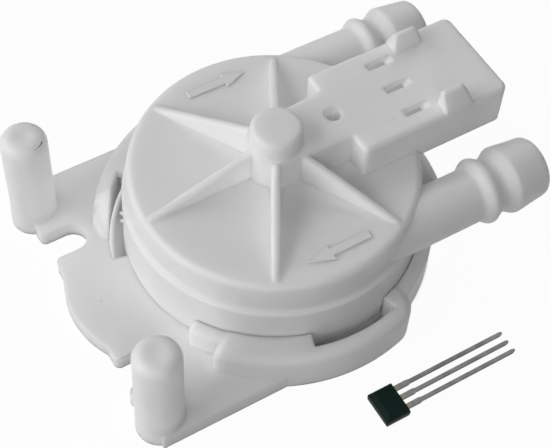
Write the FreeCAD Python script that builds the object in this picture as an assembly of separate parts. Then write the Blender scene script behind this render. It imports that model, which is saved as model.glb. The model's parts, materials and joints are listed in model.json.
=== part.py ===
import FreeCAD, Part
import math
import os

# Water flow sensor, in millimetres and degrees.
# The origin is on the wheel's axis at the underside of the base plate.
# +Z is up, +X points along the hose barbs.

# Drum of the cap
DRUM_RADIUS = 17.4
LEDGE_WIDTH = 0.65
LEDGE_DROP = 4.45
LEDGE_RISE = 0.1
LEDGE_ROUNDING = 0.15
SHOULDER_ROUNDING = 0.3
DRUM_FOOT_ROUNDING = 0.2
CAP_HEIGHT = 13.75
CAP_EDGE_ROUNDING = 0.8
DRUM_WALL = 2.9
CAP_WALL = 1.55
CHAMBER_CORNER = 0.05

# Base plate
PLATE_THICKNESS = 2.0
PLATE_HALF_WIDTH = 19.0
PLATE_REACH = 24.55
PLATE_BROAD_END = 8.94
BULGE_DEPTH = 1.45
BULGE_HALF_WIDTH = 5.6
SLOT_OFFSET = 9.65
SLOT_WIDTH = 3.7
SLOT_LENGTH = 4.85
SLOT_MOUTH_ROUNDING = 0.7
SLOT_END_ROUNDNESS = 0.999
NUB_RADIUS = 0.9
NUB_REACH = 0.6

# Posts
POST_INSET = 1.15
POST_SIDE_INSET = 3.0
POST_RADIUS = 2.7
POST_TOP = 15.3
POST_ROUNDING = 1.35
POST_FOOT_FLARE = 0.1
POST_FOOT_HEIGHT = 0.6
POST_FOOT_BLEND = 0.3
POST_LOBE_MARGIN = 0.1

# Ring wall and bayonet claws of the base
RING_CLEARANCE = 0.1
RING_WALL = 1.65
RING_TOP = 4.85
RING_ROUNDING = 0.6
RING_START = -150.0
RING_RUN_IN = 4.0
CLAW_COUNT = 3
CLAW_START = -139.0
CLAW_STEP = 1.85
CLAW_WALL = 1.75
CLAW_TOP = 5.05
CLAW_ROUNDING = 1.3
CLAW_CORNER = 0.9
CLAW_END_SWEEP = 1.0
LIP_SWEEP = 33.0
OPEN_SWEEP = 32.0
LIP_THICKNESS = 1.45
CLAW_RUN_OUT = 9.0
RUN_OUT_KNEE = 0.6
RUN_OUT_KNEE_STEP = 0.72
SHORT_CLAW = 2
SHORT_CLAW_SWEEP = 51.0
SHORT_CLAW_RUN_OUT = 6.0
SLOPE_MARGIN = 2.0
CORE_SLOT_MARGIN = 3.0

# Spigot and seal groove of the base
SPIGOT_STEP = 1.2
SPIGOT_WALL = 1.7
SPIGOT_TOP = 5.2
SPIGOT_CLEARANCE = 0.15
GROOVE_DEPTH = 0.95
GROOVE_WIDTH = 1.6
GROOVE_BOTTOM = 3.0
SEAL_CLEARANCE = 0.03
SEAL_ROUNDNESS = 0.42

# Bayonet tabs of the cap
TAB_CLEARANCE = 0.15
TAB_SWEEP_MARGIN = 1.5

# Centre boss and webs of the cap
BUTTON_RADIUS = 3.0
BUTTON_HEIGHT = 2.25
BUTTON_ROUNDING = 0.7
BUTTON_FOOT_ROUNDING = 0.1
COLLAR_RADIUS = 3.25
COLLAR_RISE = 4.5
COLLAR_DRAFT = 0.2
COLLAR_ROUNDING = 0.12
WEB_COUNT = 6
WEB_THICKNESS = 1.0
WEB_ROUNDING = 0.42
WEB_DROP = 0.35
WEB_END_RISE = 0.12

# Sensor arm of the cap
ARM_RISE = 4.44
ARM_THICKNESS = 5.5
NECK_HALF_WIDTH = 3.73
ARM_HALF_WIDTH = 6.28
ARM_SHOULDER = 7.76
ARM_REACH = 27.3
ARM_EDGE_ROUNDING = 0.5
ARM_CORNER_ROUNDING = 1.0
NECK_ROUNDING = 0.3
ARM_SHOULDER_ROUNDING = 0.6
SOCKET_COUNT = 3
SOCKET_PITCH = 3.85
SOCKET_WIDTH = 3.0
SOCKET_HEIGHT = 3.4
SOCKET_ROOF = 1.0
SOCKET_DEPTH = 14.0
WINDOW_WIDTH = 1.0
WINDOW_SETBACK = 1.2
WINDOW_LENGTH = 2.55
WINDOW_RAMP = 0.8
WINDOW_RAMP_DEPTH = 0.6
SIGHT_HOLE_X = 7.42
SIGHT_HOLE_RADIUS = 1.0
EAR_SETBACK = 4.95
EAR_LENGTH = 3.75
EAR_HEIGHT = 2.4
EAR_CREST_INSET = 1.43
EAR_CREST_WIDTH = 0.65
EAR_FOOT_WIDTH = 1.98
EAR_ROUNDING = 0.3
EAR_START_ROUNDING = 0.25
EAR_END_SLOPE = 0.9
EAR_END_ROUNDING = 0.7
POCKET_START = 4.6
POCKET_CLEARANCE = 0.1

# Hose barbs and their water ways
PORT_INSET = 2.1
PORT_DROP = 2.1
PORT_RADIUS = 2.0
PORT_SEAT_RADIUS = 1.8
PORT_START = 4.0
BARB_RADIUS = 3.27
BARB_CREST_RADIUS = 4.15
BARB_GROOVE_RADIUS = 3.2
BARB_TIP_RADIUS = 3.6
BARB_TIP_ROUNDING = 0.9
BEAD_SETBACK = 8.0
BEAD_PITCH = 3.3
BEAD_HALF_WIDTH = 1.2
BEAD_ROUNDING = 0.75
BARB_REACH = 28.0

# Inlet nozzle
NOZZLE_CLEARANCE = 0.05
NOZZLE_LENGTH = 5.3
NOZZLE_THROAT_RADIUS = 1.1
NOZZLE_MOUTH_RADIUS = 1.55
NOZZLE_SETBACK = 0.4

# Spindle, bushes and thrust washers
SHAFT_RADIUS = 1.0
SHAFT_CHAMFER = 0.2
SHAFT_OVERRUN = 1.1
RUNNING_CLEARANCE = 0.05
BUSH_WALL = 0.95
BUSH_FIT = 0.02
LOWER_BUSH_HEIGHT = 2.1
UPPER_BUSH_HEIGHT = 4.0
PIVOT_BOSS_WALL = 1.28
PIVOT_BOSS_TOP = 3.1
WASHER_WIDTH = 1.25
WASHER_THICKNESS = 0.4
WASHER_GAP = 0.05
SHAFT_END_ROOM = 0.4
SHAFT_SIDE_ROOM = 0.4

# Turbine wheel
HUB_WALL = 1.5
HUB_END_PLAY = 0.15
WHEEL_RIM = 0.5
WHEEL_DISC_THICKNESS = 3.0
WHEEL_HEADROOM = 0.75
VANE_COUNT = 8
VANE_TIP_CLEARANCE = 1.6
VANE_THICKNESS = 1.0
VANE_CURVE_RADIUS = 16.0
VANE_ROOT_SINK = 1.0
VANE_BOTTOM = 4.4
SHAFT_PRESS_GAP = 0.01

# Magnets and their cover
MAGNET_COUNT = 4
MAGNET_RADIUS = 1.5
MAGNET_LENGTH = 1.87
MAGNET_CIRCLE_RADIUS = 6.3
MAGNET_CLEARANCE = 0.03
COVER_THICKNESS = 0.6
COVER_MARGIN = 0.5
COVER_CLEARANCE = 0.04

# Hall element, taken out and lying beside the base
HALL_WIDTH = 4.1
HALL_LENGTH = 3.1
HALL_THICKNESS = 1.5
HALL_DRAFT = 0.06
HALL_BEVEL_DEPTH = 0.45
HALL_BACK_BEVEL = 0.55
HALL_FRONT_BEVEL = 0.2
HALL_SIDE_BEVEL = 0.35
HALL_X = -2.0
HALL_GAP = 3.72
LEAD_COUNT = 3
LEAD_PITCH = 1.27
LEAD_LENGTH = 14.8
LEAD_WIDTH = 0.42
LEAD_THICKNESS = 0.4
LEAD_ROOT_WIDTH = 0.6
LEAD_ROOT_LENGTH = 1.7
LEAD_NECK_LENGTH = 0.3
LEAD_POINT_LENGTH = 0.35
LEAD_POINT_WIDTH = 0.21

# How far a piece that is joined or cut away reaches past the surface that it meets
OVERLAP = 0.5
FAR = 60.0

# How near two places are when they count as one
TOLERANCE = 0.0001

# Sizes worked out from the ones above
DRUM_UPPER_RADIUS = DRUM_RADIUS - LEDGE_WIDTH
LEDGE_HEIGHT = CAP_HEIGHT - LEDGE_DROP
CHAMBER_RADIUS = DRUM_RADIUS - DRUM_WALL
CHAMBER_TOP = CAP_HEIGHT - CAP_WALL
RING_RADIUS = DRUM_RADIUS + RING_CLEARANCE
BASE_RADIUS = RING_RADIUS + RING_WALL
CLAW_OUTER_RADIUS = BASE_RADIUS + CLAW_STEP
CLAW_INNER_RADIUS = CLAW_OUTER_RADIUS - CLAW_WALL
CLAW_SWEEP = LIP_SWEEP + OPEN_SWEEP
LIP_BOTTOM = CLAW_TOP - LIP_THICKNESS
POST_X = POST_INSET - PLATE_REACH
POST_OFFSET = PLATE_HALF_WIDTH - POST_SIDE_INSET
SLOT_END = SLOT_LENGTH - PLATE_REACH
SPIGOT_RADIUS = CHAMBER_RADIUS + SPIGOT_STEP
GROOVE_RADIUS = SPIGOT_RADIUS - GROOVE_DEPTH
COUNTERBORE_RADIUS = SPIGOT_RADIUS + SPIGOT_CLEARANCE
COLLAR_TOP = CAP_HEIGHT + COLLAR_RISE
BUTTON_TOP = COLLAR_TOP + BUTTON_HEIGHT
WEB_TOP = COLLAR_TOP - WEB_DROP
ARM_TOP = CAP_HEIGHT + ARM_RISE
ARM_BOTTOM = ARM_TOP - ARM_THICKNESS
SOCKET_END = ARM_REACH - SOCKET_DEPTH
SOCKET_TOP = ARM_TOP - SOCKET_ROOF
SOCKET_BOTTOM = SOCKET_TOP - SOCKET_HEIGHT
PORT_OFFSET = CHAMBER_RADIUS - PORT_INSET
PORT_HEIGHT = CHAMBER_TOP - PORT_DROP
PORT_MOUTH = math.sqrt(CHAMBER_RADIUS ** 2 - (PORT_OFFSET - PORT_SEAT_RADIUS) ** 2)
NOZZLE_START = PORT_MOUTH + NOZZLE_SETBACK
PORT_SHOULDER = NOZZLE_START + NOZZLE_LENGTH + NOZZLE_SETBACK
BUSH_BORE = SHAFT_RADIUS + RUNNING_CLEARANCE
BUSH_RADIUS = BUSH_BORE + BUSH_WALL
BUSH_SEAT_RADIUS = BUSH_RADIUS + BUSH_FIT
PIVOT_BOSS_RADIUS = BUSH_SEAT_RADIUS + PIVOT_BOSS_WALL
LOWER_BUSH_BOTTOM = PIVOT_BOSS_TOP - LOWER_BUSH_HEIGHT
UPPER_BUSH_TOP = CHAMBER_TOP + UPPER_BUSH_HEIGHT
SHAFT_TOP = UPPER_BUSH_TOP + SHAFT_OVERRUN
LOWER_WASHER_BOTTOM = PIVOT_BOSS_TOP + WASHER_GAP
UPPER_WASHER_BOTTOM = CHAMBER_TOP - WASHER_GAP - WASHER_THICKNESS
HUB_BOTTOM = LOWER_WASHER_BOTTOM + WASHER_THICKNESS + WASHER_GAP
HUB_TOP = UPPER_WASHER_BOTTOM - HUB_END_PLAY
HUB_RADIUS = SHAFT_RADIUS + HUB_WALL
WHEEL_TOP = CHAMBER_TOP - WHEEL_HEADROOM
VANE_TIP_RADIUS = CHAMBER_RADIUS - VANE_TIP_CLEARANCE
COVER_HALF_WIDTH = MAGNET_RADIUS + COVER_MARGIN
COVER_INNER_RADIUS = MAGNET_CIRCLE_RADIUS - COVER_HALF_WIDTH
COVER_OUTER_RADIUS = MAGNET_CIRCLE_RADIUS + COVER_HALF_WIDTH
COVER_BOTTOM = WHEEL_TOP - COVER_THICKNESS
WHEEL_DISC_RADIUS = COVER_OUTER_RADIUS + WHEEL_RIM
HALL_Y = -(CLAW_OUTER_RADIUS + HALL_GAP + HALL_WIDTH / 2)
HALL_END = HALL_X + HALL_LENGTH


def vector(x, y, z):
    """A point or direction."""
    return FreeCAD.Vector(x, y, z)


def polar(radius, angle, z=0.0):
    """A point at a radius and an angle about the wheel's axis."""
    turn = math.radians(angle)
    return vector(radius * math.cos(turn), radius * math.sin(turn), z)


def cylinder(radius, bottom, top, x=0.0, y=0.0):
    """An upright cylinder between two heights."""
    return Part.makeCylinder(radius, top - bottom, vector(x, y, bottom))


def tube(outer, inner, bottom, top, x=0.0, y=0.0):
    """An upright tube between two heights."""
    return cylinder(outer, bottom, top, x, y).cut(cylinder(inner, bottom - OVERLAP, top + OVERLAP, x, y))


def block(x0, x1, y0, y1, z0, z1):
    """A box between two corners."""
    return Part.makeBox(x1 - x0, y1 - y0, z1 - z0, vector(x0, y0, z0))


def line(start, end):
    """A straight edge."""
    return Part.LineSegment(start, end).toShape()


def arc(start, middle, end):
    """A round edge through three points."""
    return Part.Arc(start, middle, end).toShape()


def face(edges):
    """A flat face inside a closed run of edges."""
    return Part.Face(Part.Wire(edges))


def polygon_face(points):
    """A flat face inside a closed run of points."""
    return face([line(points[index - 1], points[index]) for index in range(len(points))])


def in_plan(u, v):
    """Places outline coordinates in the plan, X and Y."""
    return vector(u, v, 0)


def in_section(u, v):
    """Places outline coordinates in the section, radius and height."""
    return vector(u, 0, v)


def rounded_face(corners, place):
    """A face through (u, v, radius) corners, each rounded by its radius."""
    starts = []
    middles = []
    ends = []
    for index, (u, v, radius) in enumerate(corners):
        before = corners[index - 1]
        after = corners[(index + 1) % len(corners)]
        corner = vector(u, v, 0)
        back = (vector(before[0], before[1], 0) - corner).normalize()
        ahead = (vector(after[0], after[1], 0) - corner).normalize()
        half = back.getAngle(ahead) / 2
        setback = radius / math.tan(half)
        inward = (back + ahead).normalize() if radius > 0 else back
        starts.append(corner + back * setback)
        ends.append(corner + ahead * setback)
        middles.append(corner + inward * (radius / math.sin(half) - radius))
    edges = []
    for index, (u, v, radius) in enumerate(corners):
        start, middle, end = (place(p.x, p.y) for p in (starts[index], middles[index], ends[index]))
        if radius > 0:
            edges.append(arc(start, middle, end))
        following = starts[(index + 1) % len(corners)]
        if (following - ends[index]).Length > TOLERANCE:
            edges.append(line(end, place(following.x, following.y)))
    return face(edges)


def revolved(corners, start=0.0, sweep=360.0):
    """A solid turned about the wheel's axis from (radius, height, rounding) corners."""
    section = rounded_face(corners, in_section)
    section.rotate(vector(0, 0, 0), vector(0, 0, 1), start)
    return section.revolve(vector(0, 0, 0), vector(0, 0, 1), sweep)


def sector(inner, outer, bottom, top, start, sweep):
    """Part of a tube, from an angle and over a sweep."""
    return revolved([(inner, bottom, 0), (outer, bottom, 0), (outer, top, 0), (inner, top, 0)], start, sweep)


def prism(corners, bottom, top):
    """An upright solid from (x, y, rounding) corners."""
    plan = rounded_face(corners, in_plan)
    plan.translate(vector(0, 0, bottom))
    return plan.extrude(vector(0, 0, top - bottom))


def mirrored(corners):
    """An outline's (x, y, rounding) corners followed back along the other side of the X axis."""
    return [(x, -y, rounding) for x, y, rounding in reversed(corners)]


def fuse(shapes):
    """One solid from several that overlap."""
    return shapes[0].multiFuse(shapes[1:]).removeSplitter()


def level_edges(shape, height):
    """The edges that lie at one height."""
    return [edge for edge in shape.Edges if abs(edge.BoundBox.ZMin - height) < TOLERANCE
            and abs(edge.BoundBox.ZMax - height) < TOLERANCE]


def claw_starts():
    """The angle at which each bayonet claw starts."""
    return [CLAW_START + index * 360.0 / CLAW_COUNT for index in range(CLAW_COUNT)]


def base_plate():
    """The plate: a disc, a broad end with two open slots, a bulge, a nub and the posts' lobes."""
    slot_inner = SLOT_OFFSET - SLOT_WIDTH / 2
    slot_outer = SLOT_OFFSET + SLOT_WIDTH / 2
    slot_rounding = SLOT_WIDTH / 2 * SLOT_END_ROUNDNESS
    half = [
        (-PLATE_REACH, slot_inner, SLOT_MOUTH_ROUNDING),
        (SLOT_END, slot_inner, slot_rounding),
        (SLOT_END, slot_outer, slot_rounding),
        (-PLATE_REACH, slot_outer, SLOT_MOUTH_ROUNDING),
        (-PLATE_REACH, PLATE_HALF_WIDTH, 0),
        (-PLATE_BROAD_END, PLATE_HALF_WIDTH, 0),
    ]
    broad = prism(mirrored(half) + half, 0, PLATE_THICKNESS)
    bulge_root = OVERLAP - PLATE_REACH
    bulge = face([
        line(vector(bulge_root, BULGE_HALF_WIDTH, 0), vector(-PLATE_REACH, BULGE_HALF_WIDTH, 0)),
        arc(vector(-PLATE_REACH, BULGE_HALF_WIDTH, 0), vector(-PLATE_REACH - BULGE_DEPTH, 0, 0),
            vector(-PLATE_REACH, -BULGE_HALF_WIDTH, 0)),
        line(vector(-PLATE_REACH, -BULGE_HALF_WIDTH, 0), vector(bulge_root, -BULGE_HALF_WIDTH, 0)),
        line(vector(bulge_root, -BULGE_HALF_WIDTH, 0), vector(bulge_root, BULGE_HALF_WIDTH, 0)),
    ]).extrude(vector(0, 0, PLATE_THICKNESS))
    lobe_radius = POST_RADIUS + POST_LOBE_MARGIN
    lobes = [cylinder(lobe_radius, 0, PLATE_THICKNESS, POST_X, side * POST_OFFSET) for side in (1, -1)]
    nub_x = NUB_RADIUS - NUB_REACH - PLATE_REACH
    nub = cylinder(NUB_RADIUS, 0, PLATE_THICKNESS, nub_x, -slot_outer - NUB_RADIUS)
    return fuse([broad, bulge, nub, cylinder(BASE_RADIUS, 0, PLATE_THICKNESS)] + lobes)


def post(side):
    """One locating post with a flared foot and a rounded head."""
    shape = revolved([
        (0, PLATE_THICKNESS - OVERLAP, 0),
        (POST_RADIUS + POST_FOOT_FLARE, PLATE_THICKNESS - OVERLAP, 0),
        (POST_RADIUS + POST_FOOT_FLARE, PLATE_THICKNESS, 0),
        (POST_RADIUS, PLATE_THICKNESS + POST_FOOT_HEIGHT, POST_FOOT_BLEND),
        (POST_RADIUS, POST_TOP, POST_ROUNDING),
        (0, POST_TOP, 0),
    ])
    shape.translate(vector(POST_X, side * POST_OFFSET, 0))
    return shape


def claw(start, sweep, run_out):
    """The block of one bayonet claw, with its rounded start, rounded top and its end that runs out."""
    corner_turn = math.degrees(CLAW_CORNER / CLAW_OUTER_RADIUS)
    sagitta = 1 - math.sqrt(0.5)
    end = start + sweep
    close = end + run_out
    knee_radius = BASE_RADIUS + CLAW_STEP * RUN_OUT_KNEE_STEP
    corner = polar(CLAW_OUTER_RADIUS - CLAW_CORNER, start)
    corner_middle = polar(CLAW_OUTER_RADIUS - CLAW_CORNER * sagitta, start + corner_turn * sagitta)
    shoulder = polar(CLAW_OUTER_RADIUS, start + corner_turn)
    plan = face([
        line(polar(RING_RADIUS, start), corner),
        arc(corner, corner_middle, shoulder),
        arc(shoulder, polar(CLAW_OUTER_RADIUS, start + sweep / 2), polar(CLAW_OUTER_RADIUS, end)),
        arc(polar(CLAW_OUTER_RADIUS, end), polar(knee_radius, end + run_out * RUN_OUT_KNEE),
            polar(BASE_RADIUS, close)),
        line(polar(BASE_RADIUS, close), polar(RING_RADIUS, close)),
        arc(polar(RING_RADIUS, close), polar(RING_RADIUS, (start + close) / 2), polar(RING_RADIUS, start)),
    ])
    solid = plan.extrude(vector(0, 0, CLAW_TOP))
    outer = [edge for edge in level_edges(solid, CLAW_TOP) if edge.Curve.TypeId == "Part::GeomCircle"
             and abs(edge.Curve.Radius - RING_RADIUS) > RING_CLEARANCE]
    return solid.makeFillet(CLAW_ROUNDING, outer)


def claw_hollow(start):
    """What is open in a claw: the mouth, the track under the lip and the slot through the plate."""
    track = sector(RING_RADIUS - OVERLAP, CLAW_INNER_RADIUS, PLATE_THICKNESS, LIP_BOTTOM,
                   start + CLAW_END_SWEEP, LIP_SWEEP)
    mouth = sector(RING_RADIUS - OVERLAP, CLAW_INNER_RADIUS, PLATE_THICKNESS, CLAW_TOP + OVERLAP,
                   start + LIP_SWEEP, OPEN_SWEEP)
    core = sector(RING_RADIUS, CLAW_INNER_RADIUS, -OVERLAP, PLATE_THICKNESS + OVERLAP,
                  start + CORE_SLOT_MARGIN, CLAW_SWEEP - CORE_SLOT_MARGIN)
    return [track, mouth, core]


def short_claw_slope():
    """The wedge taken off the end of the short claw, which slopes down to the plate."""
    start = claw_starts()[SHORT_CLAW] + SHORT_CLAW_SWEEP - SLOPE_MARGIN
    end = start + SHORT_CLAW_RUN_OUT + 2 * SLOPE_MARGIN
    radius = CLAW_OUTER_RADIUS + OVERLAP
    wedge = polygon_face([polar(radius, start, CLAW_TOP), polar(radius, end, PLATE_THICKNESS),
                          polar(radius, end, CLAW_TOP + OVERLAP), polar(radius, start, CLAW_TOP + OVERLAP)])
    return wedge.extrude(polar(RING_RADIUS - radius - OVERLAP, (start + end) / 2))


def ring_part(start, end):
    """One stretch of the ring wall, rounded along its outer crest and at its start."""
    solid = sector(RING_RADIUS, BASE_RADIUS, PLATE_THICKNESS - OVERLAP, RING_TOP, start, end - start)
    corner = polar(BASE_RADIUS, start, RING_TOP)
    edges = [edge for edge in solid.Edges
             if any((vertex.Point - corner).Length < TOLERANCE for vertex in edge.Vertexes)]
    return solid.makeFillet(RING_ROUNDING, edges)


def lower_housing():
    """The base: plate, posts, ring wall, three claws, spigot with its seal groove, and the pivot boss."""
    starts = claw_starts()
    claws = []
    for index, start in enumerate(starts):
        if index == SHORT_CLAW:
            claws.append(claw(start, SHORT_CLAW_SWEEP, SHORT_CLAW_RUN_OUT).cut(short_claw_slope()))
        else:
            claws.append(claw(start, CLAW_SWEEP - CLAW_END_SWEEP, CLAW_RUN_OUT))
    ring_starts = [RING_START] + [start + CLAW_SWEEP for start in starts[:-1]]
    rings = [ring_part(ring_start, start + RING_RUN_IN) for ring_start, start in zip(ring_starts, starts)]
    spigot = tube(SPIGOT_RADIUS, SPIGOT_RADIUS - SPIGOT_WALL, PLATE_THICKNESS - OVERLAP, SPIGOT_TOP)
    groove = tube(SPIGOT_RADIUS + OVERLAP, GROOVE_RADIUS, GROOVE_BOTTOM, GROOVE_BOTTOM + GROOVE_WIDTH)
    boss = cylinder(PIVOT_BOSS_RADIUS, PLATE_THICKNESS - OVERLAP, PIVOT_BOSS_TOP)
    body = fuse([base_plate(), spigot.cut(groove), boss, post(1), post(-1)] + rings + claws)
    for start in starts:
        for hollow in claw_hollow(start):
            body = body.cut(hollow)
    seat = cylinder(BUSH_SEAT_RADIUS, LOWER_BUSH_BOTTOM, PIVOT_BOSS_TOP + OVERLAP)
    return body.cut(seat).removeSplitter()


def drum():
    """The outer form of the cap: lower drum, ledge, upper wall and flat top with a rounded edge."""
    return revolved([
        (0, PLATE_THICKNESS, 0),
        (DRUM_RADIUS, PLATE_THICKNESS, DRUM_FOOT_ROUNDING),
        (DRUM_RADIUS, LEDGE_HEIGHT, LEDGE_ROUNDING),
        (DRUM_UPPER_RADIUS, LEDGE_HEIGHT + LEDGE_RISE, SHOULDER_ROUNDING),
        (DRUM_UPPER_RADIUS, CAP_HEIGHT, CAP_EDGE_ROUNDING),
        (0, CAP_HEIGHT, 0),
    ])


def centre_boss():
    """The boss over the upper bush, with its collar and button."""
    root = CAP_HEIGHT - OVERLAP
    return revolved([
        (0, root, 0),
        (COLLAR_RADIUS + COLLAR_DRAFT, root, 0),
        (COLLAR_RADIUS, COLLAR_TOP, COLLAR_ROUNDING),
        (BUTTON_RADIUS, COLLAR_TOP, BUTTON_FOOT_ROUNDING),
        (BUTTON_RADIUS, BUTTON_TOP, BUTTON_ROUNDING),
        (0, BUTTON_TOP, 0),
    ])


def web(angle):
    """One web from the boss down to the edge of the cap's top, with a rounded crest."""
    root = CAP_HEIGHT - OVERLAP
    end = DRUM_UPPER_RADIUS - CAP_EDGE_ROUNDING
    side = -WEB_THICKNESS / 2
    profile = polygon_face([vector(OVERLAP, side, root), vector(end, side, root),
                            vector(end, side, CAP_HEIGHT + WEB_END_RISE),
                            vector(COLLAR_RADIUS, side, WEB_TOP), vector(OVERLAP, side, WEB_TOP)])
    solid = profile.extrude(vector(0, WEB_THICKNESS, 0))
    crests = [edge for edge in solid.Edges
              if edge.BoundBox.XLength > end / 2 and edge.BoundBox.ZLength > WEB_ROUNDING]
    solid = solid.makeFillet(WEB_ROUNDING, crests)
    solid.rotate(vector(0, 0, 0), vector(0, 0, 1), angle)
    return solid


def arm():
    """The sensor arm: a neck from the boss's collar, and a broad end that holds three sockets."""
    half = [
        (0, COLLAR_RADIUS, 0),
        (ARM_SHOULDER, NECK_HALF_WIDTH, NECK_ROUNDING),
        (ARM_SHOULDER, ARM_HALF_WIDTH, ARM_SHOULDER_ROUNDING),
        (ARM_REACH, ARM_HALF_WIDTH, ARM_CORNER_ROUNDING),
    ]
    solid = prism(mirrored(half) + half, ARM_BOTTOM, ARM_TOP)
    edges = [edge for edge in level_edges(solid, ARM_TOP) if edge.BoundBox.XMax > OVERLAP]
    return solid.makeFillet(ARM_EDGE_ROUNDING, edges)


def ear(side):
    """One of the two raised ears at the arm's sides, upright at its start and sloped at its end."""
    crest_outer = ARM_HALF_WIDTH - EAR_CREST_INSET + EAR_CREST_WIDTH / 2
    crest_inner = crest_outer - EAR_CREST_WIDTH
    foot_inner = ARM_HALF_WIDTH - EAR_FOOT_WIDTH
    root = ARM_TOP - 2 * ARM_EDGE_ROUNDING
    top = ARM_TOP + EAR_HEIGHT
    end = ARM_REACH - EAR_SETBACK
    start = end - EAR_LENGTH
    across = [(ARM_HALF_WIDTH, root, 0), (ARM_HALF_WIDTH, ARM_TOP, 0), (crest_outer, top, EAR_ROUNDING),
              (crest_inner, top, EAR_ROUNDING), (foot_inner, ARM_TOP, 0), (foot_inner, root, 0)]
    along = [(start, root, 0), (start, top, EAR_START_ROUNDING),
             (end - EAR_END_SLOPE, top, EAR_END_ROUNDING), (end, ARM_TOP, 0), (end, root, 0)]
    bar = rounded_face(across, lambda u, v: vector(start, side * u, v)).extrude(vector(EAR_LENGTH, 0, 0))
    outline = rounded_face(along, lambda u, v: vector(u, -FAR, v)).extrude(vector(0, 2 * FAR, 0))
    return bar.common(outline)


def socket_rows():
    """The middle of each socket across the arm."""
    return [(index - (SOCKET_COUNT - 1) / 2) * SOCKET_PITCH for index in range(SOCKET_COUNT)]


def arm_hollows():
    """The sockets with their latch windows, the pocket of the Hall element and the sight hole."""
    window_start = SOCKET_END + WINDOW_SETBACK
    window_end = window_start + WINDOW_LENGTH
    above = ARM_TOP + OVERLAP
    below = SOCKET_TOP - OVERLAP
    cuts = []
    for y in socket_rows():
        cuts.append(block(SOCKET_END, ARM_REACH + OVERLAP, y - SOCKET_WIDTH / 2, y + SOCKET_WIDTH / 2,
                          SOCKET_BOTTOM, SOCKET_TOP))
        side = y - WINDOW_WIDTH / 2
        window = polygon_face([vector(window_start, side, below), vector(window_end, side, below),
                               vector(window_end, side, ARM_TOP - WINDOW_RAMP_DEPTH),
                               vector(window_end + WINDOW_RAMP, side, ARM_TOP),
                               vector(window_end + WINDOW_RAMP, side, above),
                               vector(window_start, side, above)])
        cuts.append(window.extrude(vector(0, WINDOW_WIDTH, 0)))
    pocket_half = HALL_WIDTH / 2 + POCKET_CLEARANCE
    pocket_top = SOCKET_BOTTOM + HALL_THICKNESS + 2 * POCKET_CLEARANCE
    cuts.append(block(POCKET_START, SOCKET_END + OVERLAP, -pocket_half, pocket_half,
                      SOCKET_BOTTOM, pocket_top))
    cuts.append(cylinder(SIGHT_HOLE_RADIUS, pocket_top - OVERLAP, above, SIGHT_HOLE_X))
    return cuts


def barb(side):
    """One hose barb with two rounded beads and a tapered tip."""
    first_bead = BARB_REACH - BEAD_SETBACK
    corners = [
        (PORT_START, 0, 0),
        (PORT_START, BARB_RADIUS, 0),
        (first_bead - BEAD_HALF_WIDTH, BARB_RADIUS, BEAD_ROUNDING),
        (first_bead, BARB_CREST_RADIUS, BEAD_ROUNDING),
        (first_bead + BEAD_PITCH / 2, BARB_GROOVE_RADIUS, BEAD_ROUNDING),
        (first_bead + BEAD_PITCH, BARB_CREST_RADIUS, BEAD_ROUNDING),
        (BARB_REACH, BARB_TIP_RADIUS, BARB_TIP_ROUNDING),
        (BARB_REACH, 0, 0),
    ]
    middle = vector(0, side * PORT_OFFSET, PORT_HEIGHT)
    section = rounded_face(corners, lambda x, radius: middle + vector(x, 0, radius))
    return section.revolve(middle, vector(1, 0, 0), 360)


def port(side):
    """The water way of one barb: the bore from its tip, and the narrower way into the chamber."""
    along = vector(1, 0, 0)
    y = side * PORT_OFFSET
    way = Part.makeCylinder(PORT_SEAT_RADIUS, PORT_SHOULDER + OVERLAP - PORT_START,
                            vector(PORT_START, y, PORT_HEIGHT), along)
    bore = Part.makeCylinder(PORT_RADIUS, BARB_REACH + OVERLAP - PORT_SHOULDER,
                             vector(PORT_SHOULDER, y, PORT_HEIGHT), along)
    return way.fuse(bore)


def bayonet_tab(start):
    """One tab of the cap, locked in the track under a lip of the base."""
    return sector(DRUM_RADIUS - OVERLAP, CLAW_INNER_RADIUS - TAB_CLEARANCE, PLATE_THICKNESS + TAB_CLEARANCE,
                  LIP_BOTTOM - TAB_CLEARANCE, start + CLAW_END_SWEEP + TAB_SWEEP_MARGIN,
                  LIP_SWEEP - 2 * TAB_SWEEP_MARGIN)


def upper_housing():
    """The cap: drum, boss, webs, sensor arm, hose barbs and bayonet tabs in one moulding."""
    webs = [web(index * 360.0 / WEB_COUNT) for index in range(1, WEB_COUNT)]
    tabs = [bayonet_tab(start) for start in claw_starts()]
    body = fuse([drum(), centre_boss(), arm(), ear(1), ear(-1), barb(1), barb(-1)] + webs + tabs)
    spigot_room = SPIGOT_TOP + SPIGOT_CLEARANCE
    chamber = revolved([
        (0, PLATE_THICKNESS - OVERLAP, 0),
        (COUNTERBORE_RADIUS, PLATE_THICKNESS - OVERLAP, 0),
        (COUNTERBORE_RADIUS, spigot_room, 0),
        (CHAMBER_RADIUS, spigot_room, 0),
        (CHAMBER_RADIUS, CHAMBER_TOP, CHAMBER_CORNER),
        (0, CHAMBER_TOP, 0),
    ])
    seat = cylinder(BUSH_SEAT_RADIUS, CHAMBER_TOP - OVERLAP, UPPER_BUSH_TOP)
    shaft_end = cylinder(SHAFT_RADIUS + SHAFT_SIDE_ROOM, UPPER_BUSH_TOP - OVERLAP,
                         SHAFT_TOP + SHAFT_END_ROOM)
    for cut in [chamber, port(1), port(-1), seat, shaft_end] + arm_hollows():
        body = body.cut(cut)
    return body.removeSplitter()


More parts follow.
